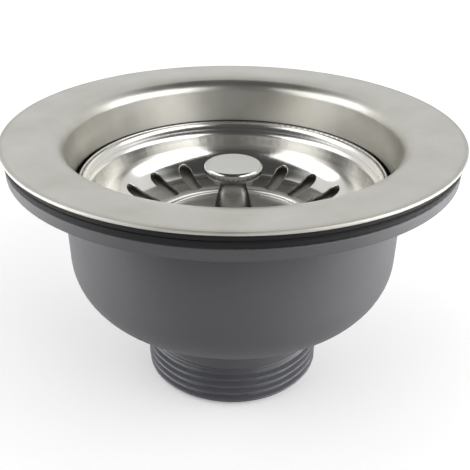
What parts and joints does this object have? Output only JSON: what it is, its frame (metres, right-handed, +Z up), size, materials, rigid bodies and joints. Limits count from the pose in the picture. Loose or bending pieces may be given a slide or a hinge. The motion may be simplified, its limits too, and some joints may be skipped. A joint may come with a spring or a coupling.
{
  "type": "basket strainer waste",
  "caption": "Kitchen sink waste: satin steel flange with a rounded dish, lift-out slotted strainer basket with knob, and a grey moulded cup with a threaded outlet.",
  "frame": {"origin": "centre of the outlet's end face, which the waste stands on", "axes": "+Z up along the axis of the waste, from the outlet to the steel rim"},
  "size_m": [0.114, 0.114, 0.0696],
  "materials": {
    "satin_steel": "fine satin stainless steel",
    "polished_steel": "polished stainless steel sheet",
    "bright_steel": "bright turned stainless steel",
    "black_rubber": "matt black rubber",
    "grey_plastic": "matt grey moulded polypropylene",
    "dark_plastic": "dark moulded plastic",
    "brass": "plain turned brass"
  },
  "bodies": {
    "waste": {"sink_flange": "satin_steel", "flange_seal": "black_rubber", "sink_seal": "black_rubber", "waste_body": "grey_plastic", "screw_insert": "brass", "screw_seal": "black_rubber", "fixing_screw": "bright_steel"},
    "basket": {"strainer_basket": "polished_steel", "basket_post": "bright_steel", "basket_knob": "bright_steel", "seal_carrier": "dark_plastic", "plug_seal": "black_rubber", "seal_retainer": "bright_steel", "stem_nut": "brass", "stem_ring": "black_rubber"}
  },
  "joints": [
    {"name": "basket_lift", "type": "slide", "parent": "waste", "child": "basket", "axis": [0, 0, 1], "range_m": [0, 0.056]}
  ]
}
